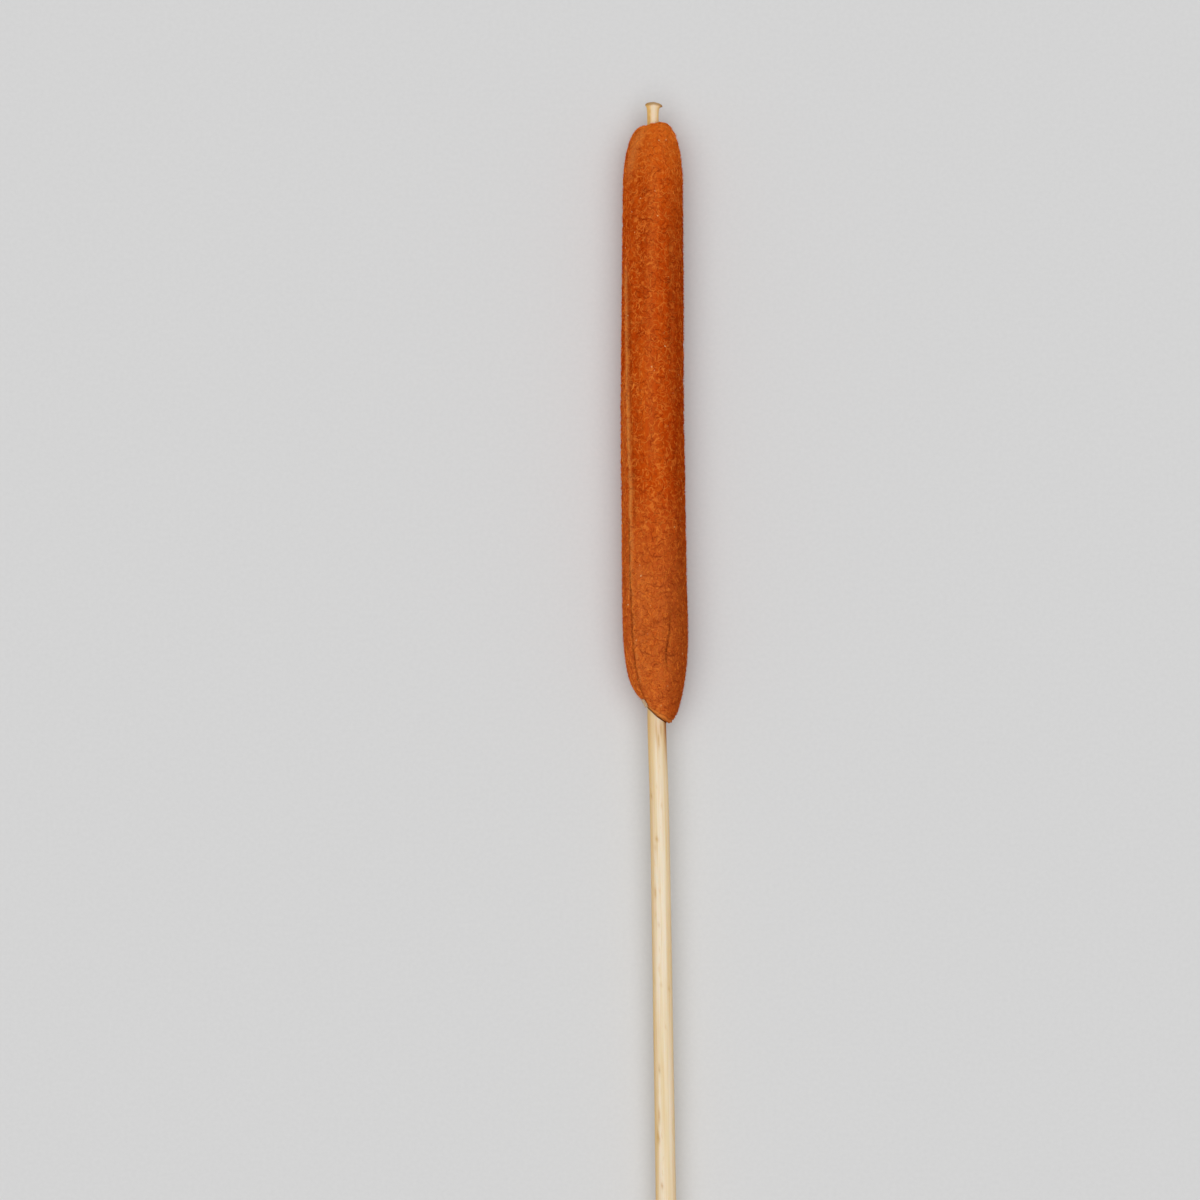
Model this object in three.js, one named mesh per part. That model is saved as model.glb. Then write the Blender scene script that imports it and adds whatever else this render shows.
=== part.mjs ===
// A dried cattail stalk lying on its side: a felted seed head grown round one straw-coloured stem.
// Millimetres, +Z up. The bare tip points along +Y and the cut foot along -Y, and z = 0 is the
// surface that the stalk lies on. "Station" means the distance along the stalk from its tip.

import * as THREE from 'three';

// The whole stalk. Its centreline passes through these places, which stand at equal stations:
// the head lies level, and below it the stem bows down to the surface and a little to one side.
const stalkLength = 550;
const sidewaysBow = [0.15, 0.05, 2.2, 4.0, 5.6, 7.2];
const heightOfAxis = [8.8, 9.1, 8.6, 7.0, 5.2, 3.45];

// The stem: a bare stub with a squeezed, flared cut at the tip, then a slow taper to the foot.
const stemSides = 24;
const stubRadius = 1.75;
const tipFlareRadius = 2.45;
const tipCrownHeight = 1.0;
const tipFlareLength = 0.9;
const stemRadiusUnderHead = 2.8;
const footRadius = 3.5;
const footBevel = 0.35;
const tipRings = 5;
const flareRings = 7;
const stemRingSpacing = 16;

// The seed head: a round spike with a dome at the top and a longer taper at the base.
const headSides = 40;
const headTop = 6.6;
const headBase = 184;
const upperRadius = 9.1;
const lowerRadius = 9.6;
const domeLength = 20;
const domeBluntness = 2 / 3;
const taperLength = 28;
const taperBluntness = 0.8;
const rimWidth = 0.4;
const stemGap = 0.3;
const endRings = 9;
const bellyRings = 12;
const boreRings = 12;

// Both ends of the head grew askew: one side reaches further along the stem than the other.
const topSkew = 0.15;
const baseSkew = 0.9;
const topSkewLength = 16;
const baseSkewLength = 20;
const baseSkewCurve = 2.5;

const centreline = new THREE.CatmullRomCurve3(
  sidewaysBow.map((x, i) => {
    const station = (stalkLength * i) / (sidewaysBow.length - 1);
    return new THREE.Vector3(x, -station, heightOfAxis[i]);
  }),
  false,
  'catmullrom',
  0.5,
);

// The stem is thin in the stub, thickens inside the head, and goes on thickening to the foot.
function stemRadius(station) {
  if (station < headTop) return stubRadius;
  if (station < headBase) {
    const share = (station - headTop) / (headBase - headTop);
    return THREE.MathUtils.lerp(stubRadius, stemRadiusUnderHead, share);
  }
  const share = (station - headBase) / (stalkLength - headBase);
  return THREE.MathUtils.lerp(stemRadiusUnderHead, footRadius, share);
}

function boreRadius(station) {
  return stemRadius(station) + stemGap;
}

// A point of a lathe profile: the lathe turns about Y, and the stalk already lies along Y.
function profilePoint(radius, station) {
  return new THREE.Vector2(radius, -station);
}

// Half of the stem's outline, from the middle of the cut tip to the middle of the cut foot.
function stemProfile() {
  const points = [];
  for (let i = 0; i <= tipRings; i++) {
    const turn = ((Math.PI / 2) * i) / tipRings;
    points.push(profilePoint(tipFlareRadius * Math.sin(turn), tipCrownHeight * (1 - Math.cos(turn))));
  }
  for (let i = 1; i < flareRings; i++) {
    const below = ((headTop - tipCrownHeight) * i) / flareRings;
    const flare = (tipFlareRadius - stubRadius) * Math.exp(-below / tipFlareLength);
    points.push(profilePoint(stubRadius + flare, tipCrownHeight + below));
  }
  const rings = Math.round((stalkLength - footBevel - headTop) / stemRingSpacing);
  for (let i = 0; i <= rings; i++) {
    const station = THREE.MathUtils.lerp(headTop, stalkLength - footBevel, i / rings);
    points.push(profilePoint(stemRadius(station), station));
  }
  points.push(profilePoint(footRadius - footBevel, stalkLength));
  points.push(profilePoint(0, stalkLength));
  return points;
}

// One rounded end of the head, from its rim at the stem to its shoulder, as a superellipse.
function endOutline(shoulderRadius, rimRadius, bluntness, end, length) {
  const firstTurn = Math.asin(Math.pow(rimRadius / shoulderRadius, 1 / bluntness));
  const points = [];
  for (let i = 0; i <= endRings; i++) {
    const turn = THREE.MathUtils.lerp(firstTurn, Math.PI / 2, i / endRings);
    const radius = shoulderRadius * Math.pow(Math.sin(turn), bluntness);
    points.push(profilePoint(radius, end + length * (1 - Math.cos(turn))));
  }
  return points;
}

// The head's closed outline: over the dome, along the belly, in at the base, back up the bore.
function headProfile() {
  const topRim = boreRadius(headTop) + rimWidth;
  const baseRim = boreRadius(headBase) + rimWidth;
  const dome = endOutline(upperRadius, topRim, domeBluntness, headTop, domeLength);
  const taper = endOutline(lowerRadius, baseRim, taperBluntness, headBase, -taperLength).reverse();
  const bellyTop = headTop + domeLength;
  const bellyBase = headBase - taperLength;
  const belly = [];
  for (let i = 1; i < bellyRings; i++) {
    const share = i / bellyRings;
    const radius = THREE.MathUtils.lerp(upperRadius, lowerRadius, share);
    belly.push(profilePoint(radius, THREE.MathUtils.lerp(bellyTop, bellyBase, share)));
  }
  const firstBore = -taper[taper.length - 1].y;
  const lastBore = -dome[0].y;
  const bore = [];
  for (let i = 0; i <= boreRings; i++) {
    const station = THREE.MathUtils.lerp(firstBore, lastBore, i / boreRings);
    bore.push(profilePoint(boreRadius(station), station));
  }
  const outline = [...dome, ...belly, ...taper, ...bore];
  return [...outline, outline[0].clone()];
}

// How far a point of the head moves along the stalk because its ends are askew.
function skewAt(x, station) {
  const nearTop = 1 - THREE.MathUtils.smoothstep(station, headTop, headTop + topSkewLength);
  const intoBase = (station - headBase + baseSkewLength) / baseSkewLength;
  const nearBase = Math.pow(THREE.MathUtils.clamp(intoBase, 0, 1), baseSkewCurve);
  return x * (baseSkew * nearBase - topSkew * nearTop);
}

// The profiles above run from the tip down, and a lathe's faces point out when they run up.
function turned(profile, sides) {
  return new THREE.LatheGeometry(profile.reverse(), sides);
}

// Carries a straight lathed piece onto the centreline, and presses what would lie under the
// surface up to it. That leaves the head's underside and the lowest line of the foot flat.
function layDown(geometry, skew) {
  const position = geometry.getAttribute('position');
  const point = new THREE.Vector3();
  for (let i = 0; i < position.count; i++) {
    point.fromBufferAttribute(position, i);
    point.y -= skew(point.x, -point.y);
    const place = centreline.getPoint(THREE.MathUtils.clamp(-point.y / stalkLength, 0, 1));
    position.setXYZ(i, point.x + place.x, point.y, Math.max(point.z + place.z, 0));
  }
  geometry.computeVertexNormals();
  return geometry;
}

function makeStem() {
  const straight = turned(stemProfile(), stemSides);
  const straw = new THREE.MeshStandardMaterial({ color: 0xe3cb96, roughness: 0.55, metalness: 0 });
  const mesh = new THREE.Mesh(layDown(straight, () => 0), straw);
  mesh.name = 'stem';
  return mesh;
}

function makeSeedHead() {
  const straight = turned(headProfile(), headSides);
  const felt = new THREE.MeshStandardMaterial({ color: 0xb85a1e, roughness: 0.95, metalness: 0 });
  const mesh = new THREE.Mesh(layDown(straight, skewAt), felt);
  mesh.name = 'seed_head';
  return mesh;
}

const stalk = new THREE.Group();
stalk.add(makeStem());
stalk.add(makeSeedHead());

// The origin is under the middle of the whole stalk, on the surface.
const box = new THREE.Box3().setFromObject(stalk);
const middle = box.getCenter(new THREE.Vector3());
stalk.position.set(-middle.x, -middle.y, -box.min.z);

export default stalk;
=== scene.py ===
import math

import bpy
import numpy as np
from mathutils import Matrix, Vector, noise


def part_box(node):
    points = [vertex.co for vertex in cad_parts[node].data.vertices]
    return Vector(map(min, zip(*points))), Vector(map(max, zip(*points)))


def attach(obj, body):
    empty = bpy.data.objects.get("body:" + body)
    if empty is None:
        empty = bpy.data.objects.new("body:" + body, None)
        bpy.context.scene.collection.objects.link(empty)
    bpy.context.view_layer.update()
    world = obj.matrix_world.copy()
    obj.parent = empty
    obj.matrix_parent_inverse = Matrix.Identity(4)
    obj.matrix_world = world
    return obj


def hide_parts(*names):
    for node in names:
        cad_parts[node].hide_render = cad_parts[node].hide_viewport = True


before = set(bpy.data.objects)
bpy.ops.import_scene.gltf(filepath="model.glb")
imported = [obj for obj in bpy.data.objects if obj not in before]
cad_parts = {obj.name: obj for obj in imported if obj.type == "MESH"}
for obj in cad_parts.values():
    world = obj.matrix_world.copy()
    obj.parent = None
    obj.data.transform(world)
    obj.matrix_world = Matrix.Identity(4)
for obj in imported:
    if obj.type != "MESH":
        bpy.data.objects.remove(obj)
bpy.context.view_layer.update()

mm = 0.001
stemLow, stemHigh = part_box("stem")
tipY = stemHigh.y / mm  # a "station" is the distance down the stalk from its tip, in mm
stalkLength = tipY - stemLow.y / mm


def pickOnly(obj):
    # back to object mode, with this object and nothing else picked
    if bpy.context.object and bpy.context.object.mode != "OBJECT":
        bpy.ops.object.mode_set(mode="OBJECT")
    bpy.ops.object.select_all(action="DESELECT")
    obj.select_set(True)
    bpy.context.view_layer.objects.active = obj


def editFaces(obj, wanted):
    # edit mode with only the faces picked that wanted(face) is true for
    pickOnly(obj)
    mesh = obj.data
    mesh.vertices.foreach_set("select", [False] * len(mesh.vertices))
    mesh.edges.foreach_set("select", [False] * len(mesh.edges))
    mesh.polygons.foreach_set("select", [bool(wanted(face)) for face in mesh.polygons])
    bpy.context.tool_settings.mesh_select_mode = (False, False, True)
    bpy.ops.object.mode_set(mode="EDIT")


def editPoints(obj, wanted):
    pickOnly(obj)
    mesh = obj.data
    mesh.polygons.foreach_set("select", [False] * len(mesh.polygons))
    mesh.edges.foreach_set("select", [False] * len(mesh.edges))
    mesh.vertices.foreach_set("select", [bool(wanted(point.co)) for point in mesh.vertices])
    bpy.context.tool_settings.mesh_select_mode = (True, False, False)
    bpy.ops.object.mode_set(mode="EDIT")


def leaveEdit():
    bpy.ops.object.mode_set(mode="OBJECT")


def placesOf(mesh):
    places = np.zeros(len(mesh.vertices) * 3)
    mesh.vertices.foreach_get("co", places)
    return places.reshape(-1, 3) / mm


def setPlaces(mesh, places):
    mesh.vertices.foreach_set("co", (places * mm).ravel())
    mesh.update()


def storeMark(mesh, name, values):
    mark = mesh.attributes.new(name, "FLOAT", "POINT")
    mark.data.foreach_set("value", np.asarray(values, dtype=np.float32))


def storeGrain(mesh, x, z, station):
    # straightened places, so a pattern runs with the stalk and meets itself all the way round
    grain = mesh.attributes.new("grain", "FLOAT_VECTOR", "POINT")
    grain.data.foreach_set("vector", (np.column_stack((x, z, station)) * mm).astype(np.float32).ravel())


def ease(low, high, value):
    share = np.clip((value - low) / (high - low), 0, 1)
    return share * share * (3 - 2 * share)


def lumps(places, size, seed=0.0):
    # smooth noise from -1 to 1 at each place; size is the width of a lump in mm
    return np.array([noise.noise(Vector(place)) for place in places / np.asarray(size) + seed])


def readStem():
    # the stalk's centreline and the stem's radius, ring by ring, from the frame's own stem
    rings = {}
    for x, y, z in placesOf(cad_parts["stem"].data):
        rings.setdefault(round(y, 2), []).append((x, z))
    table = []
    for y, ring in sorted(rings.items(), reverse=True):
        xs, zs = np.array(ring).T
        radius = np.ptp(xs) / 2
        table.append((tipY - y, xs.min() + radius, zs.max() - radius, radius))
    return np.array(table).T


stemStation, stemX, stemZ, stemRadius = readStem()
crooks = [(3, 5, -0.1), (188, 14, -0.25)]  # small bends: station, reach and how far to +X, in mm


def axisAt(station):
    x = np.interp(station, stemStation, stemX)
    for place, reach, aside in crooks:
        x = x + aside * np.exp(-((station - place) / reach) ** 2)
    return x, np.interp(station, stemStation, stemZ)


def stemRadiusAt(station):
    return np.interp(station, stemStation, stemRadius)


def layOnStalk(x, z, station):
    axisX, axisZ = axisAt(station)
    height = np.maximum(z + axisZ, 0)  # what would lie under the surface is pressed flat on it
    return np.column_stack((x + axisX, tipY - station, height))


def wholeTens(rings):
    return -(-rings // 10) * 10


def addSleeve(name, around, rings, ends):
    # a straight tube down the -Y axis with a ring of points at every millimetre, cut in tens and
    # then in ones, because one subdivide makes 100 cuts at most
    bpy.ops.object.select_all(action="DESELECT")
    bpy.ops.mesh.primitive_cylinder_add(
        vertices=around, radius=mm, depth=rings * mm, end_fill_type=ends,
        location=(0, -rings / 2 * mm, 0), rotation=(-math.pi / 2, 0, 0))
    sleeve = bpy.context.object
    sleeve.name = name
    sleeve.data.name = name
    bpy.ops.object.transform_apply(location=True, rotation=True, scale=True)
    mesh = sleeve.data
    for parts in (rings // 10, 10):
        y = placesOf(mesh)[:, 1]
        pairs = np.array(mesh.edge_keys)
        mesh.polygons.foreach_set("select", [False] * len(mesh.polygons))
        mesh.vertices.foreach_set("select", [False] * len(mesh.vertices))
        mesh.edges.foreach_set("select", np.abs(y[pairs[:, 0]] - y[pairs[:, 1]]) > 0.5)
        bpy.context.tool_settings.mesh_select_mode = (False, True, False)
        bpy.ops.object.mode_set(mode="EDIT")
        bpy.ops.mesh.subdivide(number_cuts=parts - 1)
        leaveEdit()
    return sleeve


def sleevePlan(sleeve):
    # each point's ring, its angle (0 at +X, a quarter turn on top) and 1, or 0 in the middle of an end
    x, y, z = placesOf(sleeve.data).T
    return np.rint(-y).astype(int), np.arctan2(z, x), np.rint(np.hypot(x, z))


def linear(hexColour):
    # an sRGB hex colour as the linear one that the nodes take
    channels = [int(hexColour[i:i + 2], 16) / 255 for i in (1, 3, 5)]
    return tuple(c / 12.92 if c <= 0.04045 else ((c + 0.055) / 1.055) ** 2.4 for c in channels) + (1.0,)


def addNode(tree, kind, settings=None, links=None):
    # settings are the node's own choices or its sockets' values, and links are what feeds its sockets
    node = tree.nodes.new(kind)

    def openSocket(key):
        if isinstance(key, int):
            return node.inputs[key]
        return next(socket for socket in node.inputs if socket.name == key and socket.enabled)

    for key, value in (settings or {}).items():
        if hasattr(node, str(key)):
            setattr(node, key, value)
        else:
            openSocket(key).default_value = value
    for key, source in (links or {}).items():
        if isinstance(source, bpy.types.Node):
            source = next(socket for socket in source.outputs if socket.enabled)
        tree.links.new(source, openSocket(key))
    return node


def patternOf(tree, place, layer):
    # a noise whose lumps are "wide" mm across the stalk and "long" mm along it
    wide, long = 1 / (layer["wide"] * mm), 1 / (layer["long"] * mm)
    placed = addNode(tree, "ShaderNodeMapping",
                     {"Scale": (wide, wide, long), "Location": (layer["seed"],) * 3}, {"Vector": place})
    settings = {"Scale": 1.0, "Detail": layer.get("detail", 3.0), "Distortion": layer.get("twist", 0.0)}
    return addNode(tree, "ShaderNodeTexNoise", settings, {"Vector": placed})


def layTint(tree, colour, pattern, layer):
    # the tint's colour shows where the pattern goes from "low" to "high"
    amount = addNode(tree, "ShaderNodeMapRange",
                     {"From Min": layer.get("low", 0.0), "From Max": layer.get("high", 1.0),
                      "To Max": layer.get("strength", 1.0)}, {"Value": pattern})
    return addNode(tree, "ShaderNodeMix", {"data_type": "RGBA", "B": linear(layer["tint"])},
                   {"Factor": amount, "A": colour})


# Cattail felt: the imported tips of seed down, a saturated caramel brown. It is matt with no gloss, and
# shows mottling a few millimetres wide, curled fibres, flecks and small dark pits, whose darkness is
# painted shade. The flecks and the curled fibres are drawn coarser than real down, which is too fine to
# show.
felt = {
    "base": "#c94a0a",
    "streaks": [
        {"tint": "#ab3c0a", "wide": 1.6, "long": 26, "seed": 1.0,
         "low": 0.62, "high": 0.36, "strength": 0.32},
        {"tint": "#983004", "wide": 7.0, "long": 90, "seed": 11.0,
         "low": 0.52, "high": 0.32, "strength": 0.34},
        {"tint": "#a03404", "wide": 9.0, "long": 36, "seed": 14.0,
         "low": 0.5, "high": 0.34, "strength": 0.2},
        {"tint": "#de6c1c", "wide": 4.0, "long": 60, "seed": 17.0,
         "low": 0.5, "high": 0.68, "strength": 0.25},
        {"tint": "#e07020", "wide": 0.7, "long": 7, "seed": 19.0,
         "low": 0.5, "high": 0.72, "strength": 0.3},
    ],
    "flecks": [
        {"tint": "#e2701e", "wide": 1.1, "long": 1.5, "seed": 7.0,
         "low": 0.5, "high": 0.72, "strength": 0.5, "twist": 1.5},
        {"tint": "#962c04", "wide": 0.9, "long": 1.2, "seed": 3.0,
         "low": 0.46, "high": 0.28, "strength": 0.5, "twist": 1.5},
        # painted shade that stands for small pits
        {"tint": "#5a1c04", "wide": 0.75, "long": 0.9, "seed": 23.0,
         "low": 0.73, "high": 0.8, "strength": 0.8},
    ],
    "curl": {"tint": "#ec8634", "wide": 2.0, "long": 2.4, "seed": 29.0, "low": 0.04, "high": 0.01,
             "strength": 0.6, "detail": 1.0, "twist": 0.6},
    # pale is partly the felt's own lighter colour and partly a painted highlight on crests, on the -X
    # side and round the base's rim
    "marks": {"fresh": "#ee7a1e", "pale": "#e39248"},
    "shade": "#ceae95",  # painted shade on the +X side, and partly the felt's own redder colour there; it multiplies the felt's colour
    # painted shade in the felt's cracks, in the troughs of the base's folds and under the edge of its
    # rim
    "seam": "#621c03",
    "fluff": {"wide": 0.6, "long": 0.9, "seed": 5.0, "detail": 4.0, "twist": 1.0},
    "curlSlope": 0.05, "curlRise": 0.5,  # a curled fibre stands up by half of the bump's height
    "bumpMm": 0.2,
}


def feltColour(tree, hairTones=()):
    grain = addNode(tree, "ShaderNodeAttribute", {"attribute_name": "grain"}).outputs["Vector"]
    colour = addNode(tree, "ShaderNodeRGB")
    colour.outputs[0].default_value = linear(felt["base"])
    for layer in felt["streaks"]:
        colour = layTint(tree, colour, patternOf(tree, grain, layer), layer)
    for name, tint in felt["marks"].items():
        mark = addNode(tree, "ShaderNodeAttribute", {"attribute_name": name}).outputs["Fac"]
        colour = layTint(tree, colour, mark, {"tint": tint})
    for layer in felt["flecks"]:
        colour = layTint(tree, colour, patternOf(tree, grain, layer), layer)
    # a curled fibre lies along each line where this noise passes its middle value
    swirl = patternOf(tree, grain, felt["curl"])
    fromMiddle = addNode(tree, "ShaderNodeMath", {"operation": "SUBTRACT", 1: 0.5}, {0: swirl})
    distance = addNode(tree, "ShaderNodeMath", {"operation": "ABSOLUTE"}, {0: fromMiddle})
    colour = layTint(tree, colour, distance, felt["curl"])
    tone = addNode(tree, "ShaderNodeAttribute", {"attribute_name": "tone"}).outputs["Fac"]
    for layer in hairTones:
        colour = layTint(tree, colour, tone, layer)
    # painted shade on the +X side, partly the felt's own redder colour
    shade = addNode(tree, "ShaderNodeAttribute", {"attribute_name": "shade"}).outputs["Fac"]
    darken = {"data_type": "RGBA", "blend_type": "MULTIPLY", "B": linear(felt["shade"])}
    colour = addNode(tree, "ShaderNodeMix", darken, {"Factor": shade, "A": colour})
    # painted shade in the cracks, in the folds' troughs and under the rim's edge
    seam = addNode(tree, "ShaderNodeAttribute", {"attribute_name": "seam"}).outputs["Fac"]
    colour = layTint(tree, colour, seam, {"tint": felt["seam"]})
    return colour, distance, grain


def makeFelt():
    material = bpy.data.materials.new("cattailFelt")
    material.use_nodes = True
    tree = material.node_tree
    tree.nodes.clear()
    colour, curl, grain = feltColour(tree)
    curled = addNode(tree, "ShaderNodeMapRange",
                     {"From Max": felt["curlSlope"], "To Min": felt["curlRise"], "To Max": 0.0},
                     {"Value": curl})
    fluff = patternOf(tree, grain, felt["fluff"])
    height = addNode(tree, "ShaderNodeMath", {"operation": "ADD"}, {0: curled, 1: fluff})
    bump = addNode(tree, "ShaderNodeBump", {"Strength": 0.8, "Distance": felt["bumpMm"] * mm},
                   {"Height": height})
    shader = addNode(tree, "ShaderNodeBsdfPrincipled",
                     {"Roughness": 0.95, "Specular IOR Level": 0.0, "Sheen Weight": 0.02,
                      "Sheen Roughness": 0.45, "Sheen Tint": linear("#e08a48")},
                     {"Base Color": colour, "Normal": bump})
    addNode(tree, "ShaderNodeOutputMaterial", {}, {"Surface": shader})
    return material


# Seed down: single fibres of the same felt, some darker than it and some bleached paler.
def makeDown(name, pale, paleShare):
    material = bpy.data.materials.new(name)
    material.use_nodes = True
    tree = material.node_tree
    tree.nodes.clear()
    colour, _, _ = feltColour(tree, [
        {"tint": "#982e06", "low": 0.4, "high": 0.0, "strength": 0.5},
        {"tint": pale, "low": 1 - paleShare, "high": 1.0},
    ])
    shader = addNode(tree, "ShaderNodeBsdfPrincipled",
                     {"Roughness": 0.9, "Specular IOR Level": 0.0, "Sheen Weight": 0.02,
                      "Sheen Roughness": 0.5, "Sheen Tint": linear("#e69a5c")}, {"Base Color": colour})
    addNode(tree, "ShaderNodeOutputMaterial", {}, {"Surface": shader})
    return material


# Dry straw: the satin rind of a dead stem over white pith. Light goes a little way into it, so it
# looks creamy in the middle, and its sides are yellower with painted shade. Its fibres run its whole
# length and are drawn wider than the real ones, so that they show.
straw = {
    "base": "#f5e5cb",
    "layers": [
        {"tint": "#ecd5a8", "wide": 2.2, "long": 70, "seed": 4.0,
         "low": 0.46, "high": 0.64, "strength": 0.9},
        {"tint": "#e4c288", "wide": 0.5, "long": 30, "seed": 8.0,
         "low": 0.5, "high": 0.72, "strength": 0.6},
        {"tint": "#dcb066", "wide": 1.4, "long": 6, "seed": 9.0,
         "low": 0.62, "high": 0.78, "strength": 0.5},
    ],
    # the side tint is painted shade down the stem's sides, and the brown one is painted shade under the
    # felt's rim and a stain at the lip's right edge
    "marks": {"side": "#e8ba6c", "shadeAndStain": "#ac6a26", "scar": "#cb9a4c", "cut": "#a87c42",
              "pith": "#efe6cd"},
    "fibre": {"wide": 0.3, "long": 24, "seed": 8.0},
    "bumpMm": 0.06,
}


def makeStraw():
    material = bpy.data.materials.new("dryStraw")
    material.use_nodes = True
    tree = material.node_tree
    tree.nodes.clear()
    grain = addNode(tree, "ShaderNodeAttribute", {"attribute_name": "grain"}).outputs["Vector"]
    colour = addNode(tree, "ShaderNodeRGB")
    colour.outputs[0].default_value = linear(straw["base"])
    for layer in straw["layers"]:
        colour = layTint(tree, colour, patternOf(tree, grain, layer), layer)
    for name, tint in straw["marks"].items():
        mark = addNode(tree, "ShaderNodeAttribute", {"attribute_name": name}).outputs["Fac"]
        colour = layTint(tree, colour, mark, {"tint": tint})
    fibre = patternOf(tree, grain, straw["fibre"])
    bump = addNode(tree, "ShaderNodeBump", {"Strength": 0.4, "Distance": straw["bumpMm"] * mm},
                   {"Height": fibre})
    rough = addNode(tree, "ShaderNodeMapRange", {"To Min": 0.38, "To Max": 0.6}, {"Value": fibre})
    shader = addNode(tree, "ShaderNodeBsdfPrincipled",
                     {"IOR": 1.45, "Specular IOR Level": 0.3, "Subsurface Weight": 0.35,
                      "Subsurface Radius": (1.0, 0.7, 0.4), "Subsurface Scale": 1.0 * mm},
                     {"Base Color": colour, "Normal": bump, "Roughness": rough})
    addNode(tree, "ShaderNodeOutputMaterial", {}, {"Surface": shader})
    return material


# Dry bract: a papery, pale tan scrap of leaf skin with darker veins, and hardly any gloss.
def makeBract():
    material = bpy.data.materials.new("dryBract")
    material.use_nodes = True
    tree = material.node_tree
    tree.nodes.clear()
    place = addNode(tree, "ShaderNodeTexCoord").outputs["Object"]
    veins = patternOf(tree, place, {"wide": 0.3, "long": 0.3, "seed": 2.0})
    colour = addNode(tree, "ShaderNodeRGB")
    colour.outputs[0].default_value = linear("#c9ab88")
    colour = layTint(tree, colour, veins, {"tint": "#9c7448", "low": 0.45, "high": 0.7})
    bump = addNode(tree, "ShaderNodeBump", {"Strength": 0.4, "Distance": 0.05 * mm}, {"Height": veins})
    shader = addNode(tree, "ShaderNodeBsdfPrincipled", {"Roughness": 0.7},
                     {"Base Color": colour, "Normal": bump})
    addNode(tree, "ShaderNodeOutputMaterial", {}, {"Surface": shader})
    return material


# Matt laminate of the table top, almost plain.
def makeTableTop():
    material = bpy.data.materials.new("mattLaminate")
    material.use_nodes = True
    tree = material.node_tree
    tree.nodes.clear()
    place = addNode(tree, "ShaderNodeTexCoord").outputs["Object"]
    tooth = patternOf(tree, place, {"wide": 1.2, "long": 1.2, "seed": 1.0})
    colour = addNode(tree, "ShaderNodeRGB")
    colour.outputs[0].default_value = linear("#dadada")
    colour = layTint(tree, colour, tooth, {"tint": "#dddddd", "low": 0.3, "high": 0.7})
    shader = addNode(tree, "ShaderNodeBsdfPrincipled", {"Roughness": 0.85, "Specular IOR Level": 0.2},
                     {"Base Color": colour})
    addNode(tree, "ShaderNodeOutputMaterial", {}, {"Surface": shader})
    return material


def paint(obj, material):
    obj.data.materials.clear()
    obj.data.materials.append(material)
    obj.data.polygons.foreach_set("material_index", [0] * len(obj.data.polygons))


# The seed head's felt is one skin over the dome, down the belly, round the base and up the bore.
head = {
    "around": 176, "meanRadius": 9,
    "ringGap": 0.37, "rimRingGap": 0.2, "rimZone": 8.0,
    "top": 6.6, "base": 185.3,  # stations of the two rims
    "upperRadius": 8.9, "lowerRadius": 9.6,
    "domeLength": 20.0, "domeBluntness": 2 / 3,
    "taperLength": 28.0, "taperBluntness": 0.8,
    "topRim": 2.3, "baseRim": 3.15,
    "boreGap": 0.1, "boreRings": 12,
    "topSkew": 0.2, "topSkewLength": 16.0, "leftShoulder": 0.42, "leftShoulderFrom": 2.5,
    "baseSkewLeft": 1.1, "baseSkewRight": 0.76, "baseSkewLength": 20.0, "baseSkewCurve": 2.5,
    "seamWander": [(1.8, 5.0), (1.2, 1.6)],  # degrees to either side, and over how many mm
    "swells": [  # width round and along in mm, height in mm
        (14, 40, 0.2), (6, 12, 0.08), (1.8, 26, 0.05), (2.4, 3.0, 0.05), (1.0, 1.1, 0.05),
    ],
    "rimFold": 1.3, "rimFoldHeight": 0.16, "rimFoldReach": 3.0, "rimFoldSway": 2.5, "rimFoldShade": 0.7,
    "rimBead": 0.12, "rimBeadAt": 0.9, "rimBeadWide": 0.6,
    "rimRound": 0.5, "rimRoundReach": 1.6, "rimEdgeShade": 0.85,
    "rimBare": (1.5, 5.0),  # fibres start this far from the rim, and stand full this far from it
    "fresh": [(6, 1.0), (8, 0.75), (10, 0.5), (14, 0.36), (26, 0.1), (50, 0.0), (184, 0.0)],
    "paler": [(0, 0.14), (12, 0.07), (24, 0.0), (115, 0.0), (145, 0.28), (184, 0.32)],
    "hairDensity": [(0, 0.6), (30, 0.9), (70, 0.85), (95, 0.55), (130, 0.7), (155, 1.5), (184, 1.5)],
    "shade": 0.64,  # how much painted shade, partly the felt's own redder colour, the +X side takes
}
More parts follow.
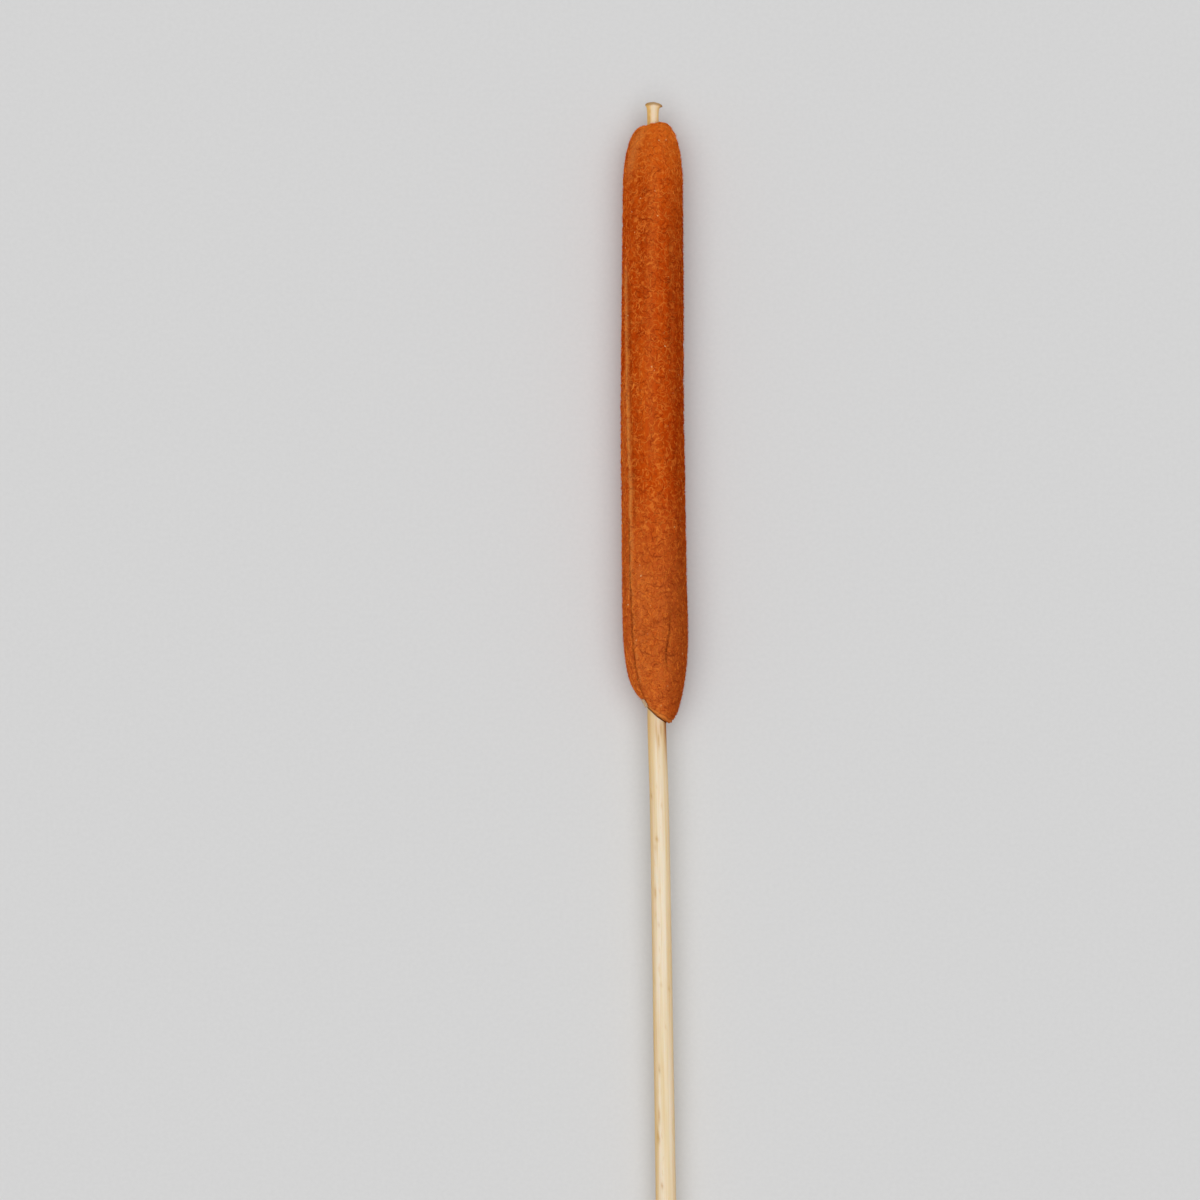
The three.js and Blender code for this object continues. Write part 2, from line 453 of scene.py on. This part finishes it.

# Lines that run down the felt: (station in mm, angle in degrees) with 90 on top and 180 at -X.
# A rise above 0 is a crest and below 0 a crack, and "gaps" is how often it breaks off. The darkening
# in a crack is painted shade, and "pale" is partly the felt's own lighter colour and partly a painted
# highlight on the crests and on the -X side.
seams = [
    {"path": [(50, 154), (81, 147), (99, 142), (116, 137), (150, 140)],
     "wide": 0.75, "rise": 0.22, "pale": 0.85, "gaps": 0.2},
    {"path": [(85, 160), (130, 158), (160, 160)], "wide": 1.7, "rise": 0.0, "pale": 0.25},
    {"path": [(50, 146), (81, 139), (99, 134), (116, 129), (128, 127)],
     "wide": 0.9, "rise": -0.14, "paintedShade": 0.25, "gaps": 0.3},
    {"path": [(126, 142), (146, 140), (153, 139), (160, 138), (168, 136), (176, 134), (183, 127)],
     "wide": 0.3, "rise": -0.32, "paintedShade": 0.72, "gaps": 0.3},
    {"path": [(138, 149), (150, 149), (163, 147), (179, 147)], "wide": 1.1, "rise": 0.18, "pale": 0.35},
    {"path": [(128, 135), (150, 134), (165, 130), (178, 124)],
     "wide": 0.9, "rise": 0.1, "pale": 0.6, "gaps": 0.2},
    {"path": [(156, 65), (159, 66), (163, 70), (166, 72), (170, 70)],
     "wide": 0.3, "rise": -0.35, "paintedShade": 0.8, "gaps": 0.3},
    {"path": [(152, 63), (157, 64)], "wide": 0.7, "rise": -0.3, "paintedShade": 0.5, "gaps": 0.2},
    {"path": [(40, 57), (58, 55), (82, 59)], "wide": 0.7, "rise": -0.1, "paintedShade": 0.25, "gaps": 0.5},
    {"path": [(40, 50), (58, 48), (82, 51)], "wide": 0.6, "rise": 0.05, "pale": 0.12, "gaps": 0.6},
    {"path": [(8, 128), (15, 140), (24, 150)], "wide": 2.2, "rise": 0.0, "pale": 0.5},
    {"path": [(20, 88), (60, 96), (110, 92)], "wide": 1.6, "rise": 0.05, "pale": 0.12},
    {"path": [(138, 118), (155, 120), (180, 112)], "wide": 3.0, "rise": 0.08, "pale": 0.4},
    {"path": [(60, 305), (90, 312), (130, 308)],
     "wide": 0.5, "rise": -0.2, "paintedShade": 0.6, "gaps": 0.7},
    {"path": [(100, 232), (140, 226), (172, 236)],
     "wide": 0.45, "rise": -0.3, "paintedShade": 0.7, "gaps": 0.5},
]


def endOutline(radius, rim, bluntness, length):
    # one rounded end, from its rim at the stem to its shoulder, as a superellipse
    turn = np.linspace(math.asin((rim / radius) ** (1 / bluntness)), math.pi / 2, 400)
    return length * (1 - np.cos(turn)), radius * np.sin(turn) ** bluntness


def headRings():
    # every ring's station and radius, which way is out of the skin there, and how far the two rims are
    domeDown, domeRadius = endOutline(head["upperRadius"], head["topRim"],
                                      head["domeBluntness"], head["domeLength"])
    baseUp, baseRadius = endOutline(head["lowerRadius"], head["baseRim"],
                                    head["taperBluntness"], head["taperLength"])
    station = np.concatenate((head["top"] + domeDown, (head["base"] - baseUp)[::-1]))
    radius = np.concatenate((domeRadius, baseRadius[::-1]))
    walked = np.concatenate(([0], np.cumsum(np.hypot(np.diff(station), np.diff(radius)))))
    fineFrom = walked[-1] - head["rimZone"]
    plain = np.linspace(0, fineFrom, int(fineFrom / head["ringGap"]) + 1)[:-1]
    fine = np.linspace(fineFrom, walked[-1], int(head["rimZone"] / head["rimRingGap"]) + 1)
    even = np.concatenate((plain, fine))
    station, radius = np.interp(even, walked, station), np.interp(even, walked, radius)
    outDown, outAway = -np.gradient(radius, even), np.gradient(station, even)
    boreRings = wholeTens(len(even) + head["boreRings"] + 1) - len(even) - 1
    bore = np.linspace(station[-1], station[0], boreRings + 1)
    boreEnds = (head["top"] + 1, head["base"])
    boreRadius = np.interp(bore, boreEnds, stemRadiusAt(boreEnds))
    inside = np.zeros(len(bore) + 1)
    return (np.concatenate((station, bore, station[:1])),
            np.concatenate((radius, boreRadius + head["boreGap"], radius[:1])),
            np.concatenate((outDown, inside)), np.concatenate((outAway, inside)),
            np.concatenate((even, inside)), np.concatenate((walked[-1] - even, inside)))


def skewAt(x, station):
    nearTop = 1 - ease(head["top"], head["top"] + head["topSkewLength"], station)
    intoBase = (station - head["base"] + head["baseSkewLength"]) / head["baseSkewLength"]
    nearBase = np.clip(intoBase, 0, 1) ** head["baseSkewCurve"]
    baseSkew = np.where(x > 0, head["baseSkewRight"], head["baseSkewLeft"])
    shoulder = head["leftShoulder"] * np.maximum(-x - head["leftShoulderFrom"], 0)  # fuller at -X
    return x * (baseSkew * nearBase - head["topSkew"] * nearTop) - shoulder * nearTop


def seamMarks(station, angle, radius):
    rise, paintedShade, pale = np.zeros_like(station), np.zeros_like(station), np.zeros_like(station)
    onLine = np.column_stack((station, station * 0, station * 0))
    for i, seam in enumerate(seams):
        along, bearing = np.array(seam["path"], dtype=float).T
        (swing, swingLong), (shiver, shiverLong) = head["seamWander"]
        middle = np.interp(station, along, bearing) + swing * lumps(onLine, swingLong, i * 3.7)
        middle = middle + shiver * lumps(onLine, shiverLong, i)
        off = np.radians((np.degrees(angle) - middle + 180) % 360 - 180) * radius
        fade = ease(along[0] - 4, along[0] + 4, station)
        fade = fade * (1 - ease(along[-1] - 5, along[-1] + 3, station))
        if "gaps" in seam:
            fade = fade * ease(seam["gaps"] - 1.0, seam["gaps"] - 0.6, lumps(onLine, 2.6, i * 5.1))
        mark = np.exp(-(off / seam["wide"]) ** 2) * fade
        rise += seam["rise"] * mark
        # a crack's painted shade, and a paler line that is partly a painted highlight
        paintedShade = np.maximum(paintedShade, seam.get("paintedShade", 0) * mark)
        pale = np.maximum(pale, seam.get("pale", 0) * mark)
    return rise, paintedShade, pale


def makeHead():
    stations, radii, outDown, outAway, fromTop, fromBase = headRings()
    felted = addSleeve("seed_head_felt", head["around"], len(stations) - 1, "NOTHING")
    ring, angle, _ = sleevePlan(felted)
    station, radius, toTop, toBase = stations[ring], radii[ring], fromTop[ring], fromBase[ring]
    middle = head["meanRadius"]
    roundPlace = np.column_stack((np.cos(angle) * middle, np.sin(angle) * middle, station))
    rise, paintedShade, pale = seamMarks(station, angle, np.maximum(radius, 1))
    for i, (across, along, height) in enumerate(head["swells"]):
        rise += height * lumps(roundPlace, (across, across, along), 4.0 * i)
    # the base puckers into a few folds round its rim, which is a thick round lip
    nearRim = np.exp(-(toBase / head["rimFoldReach"]) ** 2) * (toBase > 0)
    sway = head["rimFoldSway"] * lumps(roundPlace, 4.0, 21.0)
    fold = np.sin(toBase * 2 * math.pi / head["rimFold"] + sway)
    rise += head["rimFoldHeight"] * nearRim * fold
    rise += head["rimBead"] * np.exp(-((toBase - head["rimBeadAt"]) / head["rimBeadWide"]) ** 2)
    # painted shade in the troughs of the folds and along the edge of the rim
    paintedShade = np.maximum(paintedShade, head["rimFoldShade"] * nearRim * ease(-0.5, -1.0, fold))
    paintedShade = np.maximum(paintedShade, head["rimEdgeShade"] * (1 - ease(0.15, 0.75, toBase)))
    # paler round the rim, a painted highlight there, and paler at the dome and low on the head
    pale = np.maximum(pale, np.maximum(nearRim, np.interp(station, *zip(*head["paler"]))))
    rise *= ease(0.0, 0.9, np.minimum(toTop, toBase))
    onSkin = outAway[ring] > 0
    rise -= head["rimRound"] * np.clip(1 - toBase / head["rimRoundReach"], 0, 1) ** 2 * onSkin
    radius = radius + rise * outAway[ring]
    x, z = radius * np.cos(angle), radius * np.sin(angle)
    laid = station + rise * outDown[ring]
    laid = laid + skewAt(x, station)
    setPlaces(felted.data, layOnStalk(x, z, laid))
    storeGrain(felted.data, x, z, station)
    storeMark(felted.data, "seam", paintedShade)
    storeMark(felted.data, "pale", pale)
    storeMark(felted.data, "fresh", np.interp(station, *zip(*head["fresh"])))
    # painted shade on the +X side, partly the felt's own redder colour, fading out towards the dome
    toRight = ease(0.1, 0.8, np.cos(angle)) * ease(10, 40, station)
    storeMark(felted.data, "shade", head["shade"] * toRight)
    hairy = ease(0.1, 0.7, toTop) * ease(*head["rimBare"], toBase)
    storeMark(felted.data, "hairy", hairy * np.interp(station, *zip(*head["hairDensity"])))
    editPoints(felted, lambda place: True)
    bpy.ops.mesh.remove_doubles(threshold=0.001 * mm)
    bpy.ops.mesh.normals_make_consistent(inside=False)
    leaveEdit()
    bpy.ops.object.shade_smooth()
    return felted


# What grows out of the felt: upright nap, lying curled fibres and pale seed tips, all in mm. Real down
# is many times thinner, and this is as coarse as it needs to be to show.
down = {
    "clear": 0.75,  # nothing grows lower than this above the surface the stalk lies on
    "napLong": 0.5, "napWide": 0.08, "napLean": 0.14,
    "nap": [
        {"seed": 11, "perSquare": 3.0, "size": (0.6, 1.3), "tilt": (5, 65)},
        {"seed": 23, "perSquare": 3.0, "size": (0.6, 1.3), "tilt": (5, 75)},
    ],
    "curlWide": 0.23, "curlSteps": 6, "curlBow": 0.2, "curlClear": 1.15, "curlTilt": (-9, 9),
    "curls": [
        {"seed": 51, "long": 1.9, "bend": 80, "perSquare": 0.5, "size": (0.6, 1.3)},
        {"seed": 67, "long": 2.8, "bend": 150, "perSquare": 0.4, "size": (0.6, 1.2)},
        {"seed": 71, "long": 3.6, "bend": 100, "perSquare": 0.22, "size": (0.6, 1.2)},
    ],
    "grain": 0.5, "grains": {"seed": 83, "perSquare": 0.014, "size": (0.5, 1.2), "tilt": (-30, 30)},
}


def scatter(name, skin, sprig, plan):
    # copies of the sprig stand all over the skin, and each keeps the skin's marks where it stands
    tree = bpy.data.node_groups.new(name, "GeometryNodeTree")
    tree.interface.new_socket("Geometry", in_out="INPUT", socket_type="NodeSocketGeometry")
    tree.interface.new_socket("Geometry", in_out="OUTPUT", socket_type="NodeSocketGeometry")
    ground = addNode(tree, "NodeGroupInput")
    place = addNode(tree, "GeometryNodeInputPosition")
    height = addNode(tree, "ShaderNodeSeparateXYZ", {}, {0: place}).outputs["Z"]
    clear = addNode(tree, "FunctionNodeCompare",
                    {"data_type": "FLOAT", "operation": "GREATER_THAN", "B": plan["clear"] * mm},
                    {"A": height})
    hairy = addNode(tree, "GeometryNodeInputNamedAttribute", {"data_type": "FLOAT", "Name": "hairy"})
    # fewer fibres grow where the painted shade of the cracks, folds and rim's edge lies
    seam = addNode(tree, "GeometryNodeInputNamedAttribute", {"data_type": "FLOAT", "Name": "seam"})
    bare = addNode(tree, "ShaderNodeMath",
                   {"operation": "MULTIPLY_ADD", 1: -1.1, 2: 1.0, "use_clamp": True}, {0: seam})
    grown = addNode(tree, "ShaderNodeMath", {"operation": "MULTIPLY"}, {0: hairy, 1: bare})
    density = addNode(tree, "ShaderNodeMath",
                      {"operation": "MULTIPLY", 1: plan["perSquare"] / mm ** 2}, {0: grown})
    points = addNode(tree, "GeometryNodeDistributePointsOnFaces", {"Seed": plan["seed"]},
                     {"Mesh": ground, "Selection": clear, "Density": density})
    model = addNode(tree, "GeometryNodeObjectInfo", {"Object": sprig}).outputs["Geometry"]
    smallest, largest = plan["size"]
    size = addNode(tree, "FunctionNodeRandomValue",
                   {"data_type": "FLOAT", "Min": smallest, "Max": largest, "Seed": plan["seed"] + 1})
    stood = addNode(tree, "GeometryNodeInstanceOnPoints", {},
                    {"Points": points, "Instance": model, "Rotation": points.outputs["Rotation"],
                     "Scale": size})
    least, most = (math.radians(tilt) for tilt in plan["tilt"])
    spin = addNode(tree, "FunctionNodeRandomValue",
                   {"data_type": "FLOAT_VECTOR", "Min": (0, 0, 0), "Max": (0, 0, 2 * math.pi),
                    "Seed": plan["seed"] + 2})
    spun = addNode(tree, "GeometryNodeRotateInstances", {"Local Space": True},
                   {"Instances": stood, "Rotation": spin})
    lean = addNode(tree, "FunctionNodeRandomValue",
                   {"data_type": "FLOAT_VECTOR", "Min": (least, 0, 0), "Max": (most, 0, 0),
                    "Seed": plan["seed"] + 3})
    leaned = addNode(tree, "GeometryNodeRotateInstances", {"Local Space": True},
                     {"Instances": spun, "Rotation": lean})
    tone = addNode(tree, "FunctionNodeRandomValue", {"data_type": "FLOAT", "Seed": plan["seed"] + 4})
    toned = addNode(tree, "GeometryNodeStoreNamedAttribute",
                    {"data_type": "FLOAT", "domain": "INSTANCE", "Name": "tone"},
                    {"Geometry": leaned, "Value": tone})
    real = addNode(tree, "GeometryNodeRealizeInstances", {}, {0: toned})
    addNode(tree, "NodeGroupOutput", {}, {0: real})
    piece = skin.copy()
    piece.data = skin.data.copy()
    piece.name = name
    piece.data.name = name
    bpy.context.collection.objects.link(piece)
    pickOnly(piece)
    piece.modifiers.new("grow", "NODES").node_group = tree
    bpy.ops.object.modifier_apply(modifier="grow")
    while piece.data.uv_layers:
        piece.data.uv_layers.remove(piece.data.uv_layers[0])
    print("  ", name, len(piece.data.polygons), "faces")
    return piece


def makeSpike():
    # one upright fibre: a three-sided cone whose tip leans over
    bpy.ops.object.select_all(action="DESELECT")
    bpy.ops.mesh.primitive_cone_add(
        vertices=3, radius1=down["napWide"] / 2 * mm, radius2=0,
        depth=down["napLong"] * mm, location=(0, 0, down["napLong"] / 2 * mm))
    spike = bpy.context.object
    bpy.ops.object.transform_apply(location=True, rotation=True, scale=True)
    editPoints(spike, lambda place: place.z > 0.9 * down["napLong"] * mm)
    bpy.ops.transform.translate(value=(0, down["napLean"] * mm, 0))
    leaveEdit()
    return spike


def makeCurl(long, bend):
    # one lying fibre: a three-sided section spun round an arc, then thinned to its ends and bowed up
    reach = long / math.radians(bend)
    bpy.ops.object.select_all(action="DESELECT")
    bpy.ops.mesh.primitive_circle_add(vertices=3, radius=down["curlWide"] / 2 * mm, fill_type="NGON",
                                      location=(-reach * mm, 0, 0), rotation=(math.pi / 2, 0, 0))
    curl = bpy.context.object
    bpy.ops.object.transform_apply(location=True, rotation=True, scale=True)
    editFaces(curl, lambda face: True)
    bpy.ops.mesh.spin(steps=down["curlSteps"], angle=math.radians(bend),
                      center=(0, 0, 0), axis=(0, 0, 1))
    bpy.ops.mesh.select_all(action="SELECT")
    bpy.ops.mesh.remove_doubles(threshold=0.0001 * mm)
    bpy.ops.mesh.normals_make_consistent(inside=False)
    leaveEdit()
    x, y, z = placesOf(curl.data).T
    walked = np.abs(np.arctan2(y, -x)) / math.radians(bend)
    thick = 0.3 + 0.7 * np.sin(np.clip(walked, 0, 1) * math.pi) ** 0.5
    away = np.hypot(x, y)
    thinned = (reach + (away - reach) * thick) / away
    x, y = x * thinned, y * thinned
    z = z * thick + down["curlBow"] * (np.sin(walked * math.pi) - 0.5)
    setPlaces(curl.data, np.column_stack((x - x.mean(), y - y.mean(), z)))
    return curl


def makeSeedTip():
    # a pale seed that shows between the fibres: a small ball drawn out to a point
    bpy.ops.object.select_all(action="DESELECT")
    bpy.ops.mesh.primitive_ico_sphere_add(subdivisions=1, radius=down["grain"] / 2 * mm)
    tip = bpy.context.object
    editPoints(tip, lambda place: place.x > 0.2 * down["grain"] * mm)
    bpy.ops.transform.translate(value=(0.25 * down["grain"] * mm, 0, 0))
    bpy.ops.mesh.select_all(action="SELECT")
    bpy.ops.transform.resize(value=(1, 0.75, 0.5))
    leaveEdit()
    return tip


def growDown(skin):
    fine = makeDown("seedDown", "#e0741f", 0.3)
    loose = makeDown("looseDown", "#ee8c36", 0.5)
    spike = makeSpike()
    for i, plan in enumerate(down["nap"]):
        nap = scatter(f"seed_head_nap_{i + 1}", skin, spike, dict(plan, clear=down["clear"]))
        paint(nap, fine)
        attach(nap, "root")
    bpy.data.objects.remove(spike)
    for i, plan in enumerate(down["curls"]):
        curl = makeCurl(plan["long"], plan["bend"])
        lying = dict(plan, clear=down["curlClear"], tilt=down["curlTilt"])
        hairs = scatter(f"seed_head_curls_{i + 1}", skin, curl, lying)
        bpy.data.objects.remove(curl)
        paint(hairs, loose)
        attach(hairs, "root")
    tip = makeSeedTip()
    tips = scatter("seed_head_pale_tips", skin, tip, dict(down["grains"], clear=down["clear"]))
    bpy.data.objects.remove(tip)
    paint(tips, makeDown("paleSeedTips", "#f6d092", 1.5))
    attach(tips, "root")


# The stem is a bare stub with a flared cut at the tip, a taper to the foot, and a straight cut there.
stem = {
    "around": 48, "meanRadius": 3,
    "crown": 1.0, "crownRings": 9,
    "flareLong": 0.6, "flareRings": 12, "flareZone": 4.0,
    "lipLeft": 0.96, "lipRight": 1.18,  # the lip reaches further to the right
    "squeeze": 0.3, "squeezeLong": 2.2,
    "lipRadius": 2.4, "lipHang": 0.35, "lipRagged": 0.2,
    "ribs": 0.04, "swell": 0.05, "scarDeep": 0.03, "scarShows": 0.7, "cutShows": 0.8,
    "headEdge": 186, "yellowLeft": 0.7, "yellowRight": 0.55,
    "hiddenRings": 18, "hiddenTo": 176.0,
    "openStep": 1.3,
    "footRound": 0.35, "footRings": 4,
    "rind": 0.5, "pithStep": 0.12, "pithSunk": 0.15, "pithRing": 0.38, "pithRings": 6,
    "pithRough": 0.07, "pithLump": 0.5,
}

# small marks on the rind: station in mm, angle in degrees, half length and half width in mm
scars = [
    (221, 112, 0.9, 0.5), (224, 122, 0.5, 0.7), (237, 128, 1.6, 0.35), (208, 148, 0.9, 0.4),
    (247, 108, 0.5, 0.3), (265, 100, 0.4, 0.35), (265.5, 50, 0.6, 0.4), (290, 118, 1.2, 0.3),
    (304, 124, 2.4, 0.35), (311, 128, 1.4, 0.4), (325, 112, 1.0, 0.35), (352, 70, 1.5, 0.4),
    (371, 140, 2.0, 0.35), (398, 95, 0.8, 0.4), (431, 60, 1.8, 0.4), (463, 120, 1.2, 0.35),
    (3, 122, 0.5, 0.25), (4.8, 126, 0.5, 0.3), (188, 99, 3.2, 0.22), (191.5, 83, 2.6, 0.3),
    (188, 66, 2.4, 0.4), (310, 138, 2.6, 0.3), (342, 140, 1.6, 0.3), (497, 80, 1.6, 0.4),
    (526, 130, 1.0, 0.5), (300, 260, 2.0, 0.5), (410, 300, 1.6, 0.5),
]


def stemRings():
    crownTurn = np.linspace(0.12, math.pi / 2, stem["crownRings"])
    lip = stemRadius[stemStation < 3].max()
    crown = stem["crown"] * (1 - np.cos(crownTurn))
    flare = stem["crown"] + np.linspace(0, stem["flareZone"], stem["flareRings"])[1:]
    hidden = np.linspace(flare[-1], stem["hiddenTo"], stem["hiddenRings"])[1:]
    lastOpen = stalkLength - stem["footRound"]
    others = stem["crownRings"] + stem["flareRings"] + stem["hiddenRings"] + stem["footRings"] - 5
    openRings = wholeTens(others + int((lastOpen - stem["hiddenTo"]) / stem["openStep"])) - others
    shown = np.linspace(stem["hiddenTo"], lastOpen, openRings)[1:]
    footTurn = np.linspace(0, math.pi / 2, stem["footRings"])[1:]
    foot = lastOpen + stem["footRound"] * np.sin(footTurn)
    neck = stemRadiusAt(head["top"])
    flareRadius = neck + (lip - neck) * np.exp(-(flare - stem["crown"]) / stem["flareLong"])
    footRadius = stemRadiusAt(lastOpen) - stem["footRound"] * (1 - np.cos(footTurn))
    station = np.concatenate((crown, flare, hidden, shown, foot))
    return station, np.concatenate((lip * np.sin(crownTurn), flareRadius, stemRadiusAt(hidden),
                                    stemRadiusAt(shown), footRadius))


def makeStem():
    stations, radii = stemRings()
    rod = addSleeve("stem_straw", stem["around"], len(stations) - 1, "TRIFAN")
    ring, angle, spread = sleevePlan(rod)
    station, radius = stations[ring], radii[ring]
    right, turn = np.cos(angle), np.degrees(angle)
    roundX, roundZ = right * stem["meanRadius"], np.sin(angle) * stem["meanRadius"]
    roundPlace = np.column_stack((roundX, roundZ, station))
    scar = np.zeros_like(station)
    for place, bearing, halfLong, halfWide in scars:
        off = np.radians((turn - bearing + 180) % 360 - 180) * radius
        scar = np.maximum(scar, np.exp(-((station - place) / halfLong) ** 2 - (off / halfWide) ** 2))
    betweenEnds = ease(2, 3, station) * (1 - ease(stalkLength - 1, stalkLength - 0.4, station))
    ribs = stem["ribs"] * lumps(roundPlace, (1.1, 1.1, 90))
    swell = stem["swell"] * lumps(roundPlace, (4, 4, 22), 5.0)
    radius = radius + betweenEnds * (ribs + swell)
    radius = (radius - stem["scarDeep"] * scar) * spread
    tipShare = np.exp(-np.maximum(station - stem["crown"], 0) / stem["flareLong"])
    wide = 1 + tipShare * (np.where(right > 0, stem["lipRight"], stem["lipLeft"]) - 1)
    flat = 1 - stem["squeeze"] * np.exp(-np.maximum(station - stem["crown"], 0) / stem["squeezeLong"])
    hang = stem["lipHang"] * np.clip(right, 0, 1)
    hang = hang + stem["lipRagged"] * lumps(roundPlace, (1.2, 1.2, 50), 2.0)
    laid = np.maximum(station + tipShare * hang * radius / stem["lipRadius"], 0)
    setPlaces(rod.data, layOnStalk(radius * right * wide, radius * np.sin(angle) * flat, laid))
    storeGrain(rod.data, roundX, roundZ, station)
    storeMark(rod.data, "scar", stem["scarShows"] * scar)
    # painted shade: yellower down both sides, most of all close under the head, where it shades the
    # stem, and on the left of the stub
    yellow = np.where(right > 0, stem["yellowRight"], stem["yellowLeft"])
    aside = yellow * ease(0.4, 1.0, np.abs(right))
    belowHead = station - stem["headEdge"]
    underHead = np.exp(-(np.maximum(belowHead, 0) / 18) ** 2)
    underHead *= 0.14 + 0.6 * ease(0.3, 0.9, np.abs(right))
    underHead += (0.05 + 0.5 * ease(-0.1, 0.8, -right)) * (station < 8)
    storeMark(rod.data, "side", np.maximum(aside, underHead))
    # painted shade close under the felt's rim, most of all on the right, and a brown stain at the right
    # edge of the lip
    shadeAndStain = np.exp(-(belowHead / 9) ** 2) * ease(0.55, 0.95, right)
    shadeAndStain += 0.12 * np.exp(-(belowHead / 6) ** 2)
    shadeAndStain += tipShare * ease(0.8, 1.0, right) * ease(0.5, 1.0, station)
    storeMark(rod.data, "shadeAndStain", np.clip(shadeAndStain, 0, 1))
    cut = 1 - ease(stem["crown"] - 0.1, stem["crown"] + 0.35, station)
    storeMark(rod.data, "cut", stem["cutShows"] * cut)
    storeMark(rod.data, "pith", station * 0)
    cutFoot(rod)
    bpy.ops.object.shade_smooth_by_angle(angle=math.radians(40))
    return rod


def cutFoot(rod):
    # a straight cut: the edge of the rind, and the spongy pith sunk a little below it
    footY = stemLow.y + 0.001 * mm
    editFaces(rod, lambda face: face.center.y < footY and len(face.vertices) == 3)
    bpy.ops.mesh.inset(thickness=stem["rind"] * mm, depth=0)
    bpy.ops.mesh.inset(thickness=stem["pithStep"] * mm, depth=-stem["pithSunk"] * mm)
    for _ in range(stem["pithRings"]):
        bpy.ops.mesh.inset(thickness=stem["pithRing"] * mm, depth=0)
    leaveEdit()
    places = placesOf(rod.data)
    sunk = (places[:, 1] > stemLow.y / mm + 0.1) & (places[:, 1] < stemLow.y / mm + 0.2)
    axisX, axisZ = axisAt(stalkLength)
    sunk &= np.hypot(places[:, 0] - axisX, places[:, 2] - axisZ) < stemRadius[-1] - stem["rind"]
    places[sunk, 1] += stem["pithRough"] * lumps(places[sunk], stem["pithLump"])
    setPlaces(rod.data, places)
    rod.data.attributes["pith"].data.foreach_set("value", sunk.astype(np.float32))


# The scrap of a dried bract that is left where the felt ends.
bract = {
    "station": 179.6, "angle": 131, "radius": 4.6,
    "long": 2.6, "wide": 1.4, "thick": 0.07,
    "lift": 0.3, "facesUp": 0.7, "downwards": (0.3, -1.0, 0.0),
}


def makeBractScrap(skin):
    bpy.ops.object.select_all(action="DESELECT")
    bpy.ops.mesh.primitive_grid_add(x_subdivisions=8, y_subdivisions=12, size=2 * mm)
    scrap = bpy.context.object
    scrap.name = "bract_scrap"
    scrap.data.name = "bract_scrap"
    across, along, _ = placesOf(scrap.data).T
    ragged = 1 + 0.3 * lumps(np.column_stack((across, along, along * 0)), 0.6)
    x = across * bract["wide"] / 2 * (0.55 + 0.45 * np.cos(along * 1.2)) * ragged
    y = along * bract["long"] / 2 * ragged
    z = 0.15 * across ** 2 + 0.3 * np.clip(along, 0, 1) ** 2 + bract["lift"]
    angle, radius = math.radians(bract["angle"]), bract["radius"]
    wanted = layOnStalk(radius * np.cos(angle), radius * np.sin(angle), bract["station"])[0]
    near = int(np.argmin(np.linalg.norm(placesOf(skin.data) - wanted, axis=1)))
    out = np.array(skin.data.vertices[near].normal) + np.array((0, 0, bract["facesUp"]))
    out /= np.linalg.norm(out)
    downwards = np.array(bract["downwards"]) - out * np.dot(out, bract["downwards"])
    downwards /= np.linalg.norm(downwards)
    foot = placesOf(skin.data)[near]
    sideways = np.cross(out, downwards)
    setPlaces(scrap.data, foot + np.outer(x, sideways) + np.outer(y, downwards) + np.outer(z, out))
    pickOnly(scrap)
    wall = scrap.modifiers.new("wall", "SOLIDIFY")
    wall.thickness = bract["thick"] * mm
    wall.offset = 0
    bpy.ops.object.modifier_apply(modifier="wall")
    bpy.ops.object.shade_smooth()
    return scrap


# Floor, light and camera.
shot = {
    "acrossMm": 360.0,  # what the frame takes in at the stalk's height
    "tipUp": 149.4, "tipRight": 15.9,  # where the tip stands from the frame's middle, in mm
    "stalkHeight": 9.0,
    "lens": 85.0, "sensor": 36.0,
    "room": 0.30, "paleWall": 0.68, "skirting": 0.15,  # the room is paler where it meets the table
    "light": 1.95, "lightSpread": 84, "lightLean": (4, -2),
}


def makeStage():
    bpy.ops.object.select_all(action="DESELECT")
    bpy.ops.mesh.primitive_plane_add(size=40.0)
    floor = bpy.context.object
    floor.name = "floor"
    paint(floor, makeTableTop())
    scene = bpy.context.scene
    scene.view_settings.view_transform = "Standard"
    world = bpy.data.worlds.new("paleRoom")
    world.use_nodes = True
    room = world.node_tree
    room.nodes.clear()
    direction = addNode(room, "ShaderNodeTexCoord").outputs["Generated"]
    height = addNode(room, "ShaderNodeSeparateXYZ", {}, {0: direction}).outputs["Z"]
    glow = addNode(room, "ShaderNodeMapRange",
                   {"From Max": shot["skirting"], "To Min": shot["paleWall"], "To Max": shot["room"]},
                   {"Value": height})
    sky = addNode(room, "ShaderNodeBackground", {"Color": (1, 1, 1, 1)}, {"Strength": glow})
    addNode(room, "ShaderNodeOutputWorld", {}, {"Surface": sky})
    scene.world = world
    leanX, leanY = (math.radians(lean) for lean in shot["lightLean"])
    bpy.ops.object.light_add(type="SUN", rotation=(leanX, leanY, 0))
    light = bpy.context.object
    light.data.energy = shot["light"]
    light.data.angle = math.radians(shot["lightSpread"])
    tipX, _ = axisAt(0)
    high = shot["acrossMm"] * shot["lens"] / shot["sensor"] + shot["stalkHeight"]
    middle = Vector((tipX - shot["tipRight"], tipY - shot["tipUp"], high)) * mm
    bpy.ops.object.camera_add(location=middle, rotation=(0, 0, 0))
    camera = bpy.context.object
    camera.data.lens = shot["lens"]
    camera.data.sensor_width = shot["sensor"]
    camera.data.clip_start = 0.01
    scene.camera = camera


print("stage")
makeStage()
print("felt")
skin = makeHead()
paint(skin, makeFelt())
print("down")
growDown(skin)
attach(skin, "root")
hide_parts("seed_head")
print("bract scrap")
scrap = makeBractScrap(skin)
paint(scrap, makeBract())
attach(scrap, "root")
print("stem")
rod = makeStem()
paint(rod, makeStraw())
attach(rod, "root")
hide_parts("stem")
